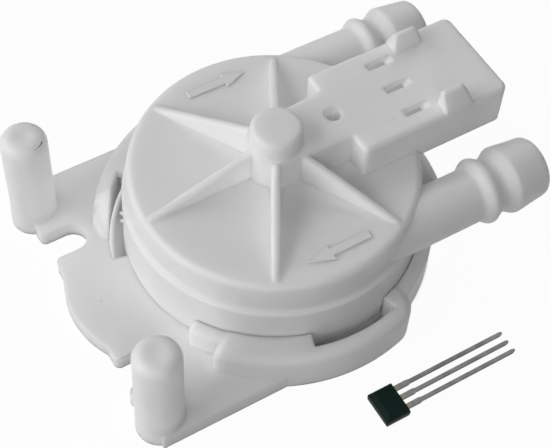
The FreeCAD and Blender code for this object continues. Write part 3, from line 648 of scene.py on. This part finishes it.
class Finishes:
    """Every finish of the sensor, by its slot."""

    def __init__(self) -> None:
        """Builds the materials."""
        effects = Effects()
        recipes = {
            Slot.HOUSING: MouldedPlastic("milky_housing", (0.92, 0.92, 0.92), (0.90, 0.90, 0.90),
                                         (0.94, 0.94, 0.94), translucency=1.0, reach=1.2 * MM,
                                         edge_width=0.5 * MM, speck_share=0.0, spots=HOUSING_SPOTS,
                                         nicks=POST_NICKS, dishes=POST_DISHES, painted_glows=HOUSING_PAINTED_GLOWS),
            Slot.WHEEL: MouldedPlastic("white_wheel", (0.80, 0.80, 0.78), (0.77, 0.77, 0.75),
                                       (0.86, 0.86, 0.84), translucency=0.2),
            Slot.SEAL: MouldedPlastic("black_seal", (0.02, 0.02, 0.02), (0.028, 0.028, 0.028),
                                      (0.05, 0.05, 0.05), roughness=0.6, speck_share=0.0),
            Slot.BEARING: MouldedPlastic("grey_bearing", (0.12, 0.12, 0.13), (0.15, 0.15, 0.16),
                                         (0.2, 0.2, 0.21), roughness=0.5, speck_share=0.0),
            Slot.ELEMENT: MouldedPlastic("black_element", (0.003, 0.0135, 0.010), (0.004, 0.015, 0.012),
                                         (0.02, 0.032, 0.029), roughness=0.5, grain_size=0.1 * MM,
                                         grain_height=0.01 * MM, cloud_size=2 * MM, edge_width=0.25 * MM,
                                         speck_share=0.0, specular=0.07),
            Slot.MAGNET: BareMetal("sintered_magnet", (0.11, 0.11, 0.12), (0.08, 0.08, 0.085),
                                   roughness=0.55),
            Slot.SPINDLE: BareMetal("ground_spindle", (0.62, 0.62, 0.63), (0.55, 0.55, 0.56),
                                    roughness=0.25),
            Slot.LEAD: BareMetal("tinned_lead", (0.19, 0.19, 0.195), (0.13, 0.13, 0.132),
                                 roughness=0.42, stained_end=1.6 * MM, painted_shade_top=0.92 * MM),
        }
        self._materials = {slot: recipe.material(effects) for slot, recipe in recipes.items()}
        self.raised_sign = MouldedPlastic("raised_sign", (0.87, 0.87, 0.87), (0.85, 0.85, 0.85),
                                          (0.92, 0.92, 0.92), edge_width=0.1 * MM,
                                          speck_share=0.0).material(effects)

    def of(self, slot: Slot) -> bpy.types.Material:
        """The material of a slot."""
        return self._materials[slot]

    def dress(self, node: str, slot: Slot) -> None:
        """Gives a node of the frame its finish.

        Args:
            node: The node's name.
            slot: The slot that it takes its finish from.
        """
        mesh = frame["nodes"][node].data
        mesh.materials.clear()
        mesh.materials.append(self.of(slot))


class Workshop:
    """Turns finished bmeshes into pieces of the sensor."""

    def __init__(self, finishes: Finishes) -> None:
        """Keeps the finishes at hand.

        Args:
            finishes: The sensor's finishes.
        """
        self.finishes = finishes

    def piece(self, name: str, shape: bmesh.types.BMesh, body: Body, slot: Slot,
              material: bpy.types.Material | None = None) -> bpy.types.Object:
        """Makes a piece that rides on a body.

        Args:
            name: The piece's name.
            shape: Its mesh, in the frame's place.
            body: The body that it rides on.
            slot: The slot that it takes its finish from.
            material: Its own material, where it isn't the slot's.

        Returns:
            The new object.
        """
        bmesh.ops.recalc_face_normals(shape, faces=shape.faces)
        mesh = bpy.data.meshes.new(name)
        shape.to_mesh(mesh)
        shape.free()
        mesh.materials.append(material or self.finishes.of(slot))
        made = bpy.data.objects.new(name, mesh)
        bpy.context.scene.collection.objects.link(made)
        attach(made, body.value)
        LOG.info("piece %s", name)
        return made


@dataclass
class FlowArrow:
    """A raised arrow on the cap, beside one of the hose barbs."""

    name: str
    across: float
    tail: float
    neck: float
    tip: float
    shift: float = -0.08 * MM
    shaft_width: float = 1.0 * MM
    head_width: float = 2.1 * MM
    foot: float = 13.7 * MM
    top: float = 13.92 * MM
    rounding: float = 0.08 * MM

    def build(self, workshop: Workshop) -> None:
        """Makes the arrow.

        Args:
            workshop: Where pieces are made.
        """
        shaft = self.shaft_width / 2
        head = self.head_width / 2
        outline = [(self.tail, shaft), (self.neck, shaft), (self.neck, head), (self.tip, 0.0),
                   (self.neck, -head), (self.neck, -shaft), (self.tail, -shaft)]
        shape = bmesh.new()
        corners = [shape.verts.new((x + self.shift, self.across + y, self.foot)) for x, y in outline]
        foot = shape.faces.new(corners)
        raised = bmesh.ops.extrude_face_region(shape, geom=[foot])["geom"]
        upper = [item for item in raised if isinstance(item, bmesh.types.BMVert)]
        bmesh.ops.translate(shape, verts=upper, vec=(0.0, 0.0, self.top - self.foot))
        level = self.foot + self.rounding
        crest = [edge for edge in shape.edges if all(vert.co.z > level for vert in edge.verts)]
        bmesh.ops.bevel(shape, geom=crest, offset=self.rounding, segments=2, profile=0.5, affect="EDGES",
                        material=-1)
        workshop.piece(self.name, shape, Body.HOUSING, Slot.HOUSING, workshop.finishes.raised_sign)


@dataclass
class Cap:
    """The cap of the housing, with its raised flow arrows."""

    arrow_offset: float = 13.4 * MM

    def build(self, workshop: Workshop) -> None:
        """Dresses the cap and makes its arrows.

        Args:
            workshop: Where pieces are made.
        """
        workshop.finishes.dress("upper_housing", Slot.HOUSING)
        offset = self.arrow_offset
        for arrow in (
            FlowArrow("inlet_arrow", -offset, tail=4.3 * MM, neck=-0.65 * MM, tip=-3.58 * MM),
            FlowArrow("outlet_arrow", offset, tail=-3.7 * MM, neck=1.1 * MM, tip=3.85 * MM),
        ):
            arrow.build(workshop)


@dataclass
class MouldFlash:
    """Two crumbs of flash left on the cap's wall, beside a claw."""

    radius: float = 0.24 * MM
    reach: float = 17.5 * MM
    crumbs: tuple[tuple[float, float], ...] = ((156.0, 6.3 * MM), (157.0, 5.2 * MM))

    def build(self, workshop: Workshop) -> None:
        """Makes the crumbs.

        Args:
            workshop: Where pieces are made.
        """
        for number, (turn, height) in enumerate(self.crumbs, start=1):
            way = math.radians(turn)
            place = Matrix.Translation((math.cos(way) * self.reach, math.sin(way) * self.reach, height))
            shape = bmesh.new()
            bmesh.ops.create_icosphere(shape, subdivisions=2, radius=self.radius, matrix=place)
            workshop.piece(f"flash_crumb_{number}", shape, Body.HOUSING, Slot.HOUSING,
                           workshop.finishes.raised_sign)


@dataclass
class Base:
    """The base of the housing and its seal."""

    def build(self, workshop: Workshop) -> None:
        """Dresses the base and the seal."""
        workshop.finishes.dress("lower_housing", Slot.HOUSING)
        workshop.finishes.dress("housing_seal", Slot.SEAL)


@dataclass
class WheelAndBearings:
    """The wheel with its magnets, and what it turns in."""

    magnet_count: int = 4

    def build(self, workshop: Workshop) -> None:
        """Dresses the wheel, its magnets and its bearings.

        Args:
            workshop: Where the finishes are.
        """
        finishes = workshop.finishes
        for node in ("turbine_rotor", "magnet_cover"):
            finishes.dress(node, Slot.WHEEL)
        for node in ("rotor_shaft", "lower_thrust_washer", "upper_thrust_washer"):
            finishes.dress(node, Slot.SPINDLE)
        for node in ("lower_bearing", "upper_bearing", "inlet_nozzle"):
            finishes.dress(node, Slot.BEARING)
        for number in range(1, self.magnet_count + 1):
            finishes.dress(f"rotor_magnet_{number}", Slot.MAGNET)


@dataclass
class HallElement:
    """The Hall element, lying beside the base."""

    lead_count: int = 3

    def build(self, workshop: Workshop) -> None:
        """Dresses the moulded body and its leads.

        Args:
            workshop: Where the finishes are.
        """
        workshop.finishes.dress("hall_body", Slot.ELEMENT)
        for number in range(1, self.lead_count + 1):
            workshop.finishes.dress(f"hall_lead_{number}", Slot.LEAD)


@dataclass
class SoftLamp:
    """A square soft lamp that points at the sensor."""

    name: str
    azimuth: float
    elevation: float
    distance: float
    size: float
    power: float

    def build(self, target: Vector) -> None:
        """Places the lamp.

        Args:
            target: The point that it is turned to.
        """
        lamp = bpy.data.lights.new(self.name, "AREA")
        lamp.shape = "SQUARE"
        lamp.size = self.size
        lamp.energy = self.power
        made = bpy.data.objects.new(self.name, lamp)
        turn = math.radians(self.azimuth)
        rise = math.radians(self.elevation)
        away = Vector((math.cos(turn) * math.cos(rise), math.sin(turn) * math.cos(rise), math.sin(rise)))
        made.location = target + away * self.distance
        made.rotation_mode = "QUATERNION"
        made.rotation_quaternion = (-away).to_track_quat("-Z", "Y")
        bpy.context.scene.collection.objects.link(made)


@dataclass
class Studio:
    """A pale floor, soft lamps, an even surround and the camera."""

    floor_size: float = 3.0
    floor_tone: float = 0.5
    seen_tone: float = 0.97
    seen_share: float = 0.96
    covered_radius: float = 19.0 * MM
    covered_fade: float = 0.4 * MM
    surround: float = 0.02
    camera_place: Place = (-0.0546, -0.08223, 0.14185)
    look: Place = (0.32183, 0.47843, -0.81703)
    up: Place = (0.39707, 0.71518, 0.5752)
    lens: float = 93.66
    sensor: float = 36.0
    nearest: float = 10.0 * MM
    target: Place = (0.0, 0.0, 0.008)
    lamps: tuple[SoftLamp, ...] = (
        SoftLamp("key_lamp", azimuth=180.0, elevation=25.0, distance=0.6, size=0.4, power=1.5),
        SoftLamp("second_lamp", azimuth=135.0, elevation=27.0, distance=0.6, size=0.4, power=1.1),
        SoftLamp("side_lamp", azimuth=45.0, elevation=32.0, distance=0.6, size=0.5, power=0.85),
        SoftLamp("front_lamp", azimuth=250.0, elevation=38.0, distance=0.6, size=0.5, power=0.9),
    )

    def build(self) -> None:
        """Makes the whole studio."""
        self._floor()
        self._world()
        for lamp in self.lamps:
            lamp.build(Vector(self.target))
        self._camera()
        bpy.context.scene.view_settings.view_transform = "Standard"
        LOG.info("studio ready")

    @staticmethod
    def _seen(graph: Graph) -> bpy.types.NodeSocket:
        """Which rays see the bare background: camera, glossy and transmission rays.

        Args:
            graph: The graph of a material or of the world.

        Returns:
            A socket that is 1 for those rays and 0 for all others.
        """
        path = graph.add("LightPath").outputs
        both = graph.maths("MAXIMUM", path["Is Camera Ray"], path["Is Glossy Ray"])
        return graph.maths("MAXIMUM", both, path["Is Transmission Ray"])

    def _floor(self) -> None:
        """A flat floor that looks almost white and keeps a soft shadow."""
        shape = bmesh.new()
        bmesh.ops.create_grid(shape, x_segments=1, y_segments=1, size=self.floor_size / 2)
        mesh = bpy.data.meshes.new("studio_floor")
        shape.to_mesh(mesh)
        shape.free()
        material, graph = start_material("studio_floor")
        lit = graph.add("BsdfDiffuse", {"Color": (self.floor_tone,) * 3 + (1.0,)}).outputs[0]
        pale = graph.add("BsdfDiffuse", {"Color": (self.seen_tone,) * 3 + (1.0,)}).outputs[0]
        white = graph.add("Emission", {"Color": WHITE, "Strength": 1.0}).outputs[0]
        away = graph.distance(graph.place(), ORIGIN)
        share = graph.remap(away, self.covered_radius - self.covered_fade,
                            self.covered_radius + self.covered_fade, 0.0, self.seen_share)
        shown = graph.add("MixShader", {0: share, 1: pale, 2: white}).outputs[0]
        graph.end(graph.add("MixShader", {0: self._seen(graph), 1: lit, 2: shown}).outputs[0])
        mesh.materials.append(material)
        made = bpy.data.objects.new("studio_floor", mesh)
        bpy.context.scene.collection.objects.link(made)

    def _world(self) -> None:
        """An even surround, white where it is seen."""
        world = bpy.data.worlds.new("surround")
        world.use_nodes = True
        graph = Graph(world.node_tree)
        strength = graph.remap(self._seen(graph), 0.0, 1.0, self.surround, 1.0)
        background = graph.add("Background", {"Color": WHITE, "Strength": strength})
        graph.end(background.outputs[0], "OutputWorld")
        bpy.context.scene.world = world

    def _camera(self) -> None:
        """The camera at the photograph's angle."""
        data = bpy.data.cameras.new("photo_camera")
        data.lens = self.lens
        data.sensor_width = self.sensor
        data.clip_start = self.nearest
        camera = bpy.data.objects.new("photo_camera", data)
        look = Vector(self.look).normalized()
        right = look.cross(Vector(self.up)).normalized()
        up = right.cross(look)
        turn = Matrix((right, up, -look)).transposed()
        camera.matrix_world = Matrix.Translation(self.camera_place) @ turn.to_4x4()
        bpy.context.scene.collection.objects.link(camera)
        bpy.context.scene.camera = camera


def clear_startup() -> None:
    """Removes what Blender starts with, and keeps the frame."""
    kept = set(frame["nodes"].values()) | set(frame["bodies"].values())
    for thing in list(bpy.data.objects):
        if thing not in kept:
            bpy.data.objects.remove(thing)


def corners(box: tuple[Vector, Vector]) -> list[list[float]]:
    """A box's two corners as plain numbers.

    Args:
        box: The lowest and the highest corner.

    Returns:
        Both corners as lists.
    """
    return [list(corner) for corner in box]


def main() -> None:
    """Builds the sensor's looks and its studio."""
    logging.basicConfig(level=logging.INFO, format="%(name)s: %(message)s")
    clear_startup()
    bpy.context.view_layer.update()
    workshop = Workshop(Finishes())
    for assembly in (Cap(), MouldFlash(), Base(), WheelAndBearings(), HallElement()):
        assembly.build(workshop)
        LOG.info("built %s", type(assembly).__name__)
    Studio().build()


if __name__ == "__main__":
    main()
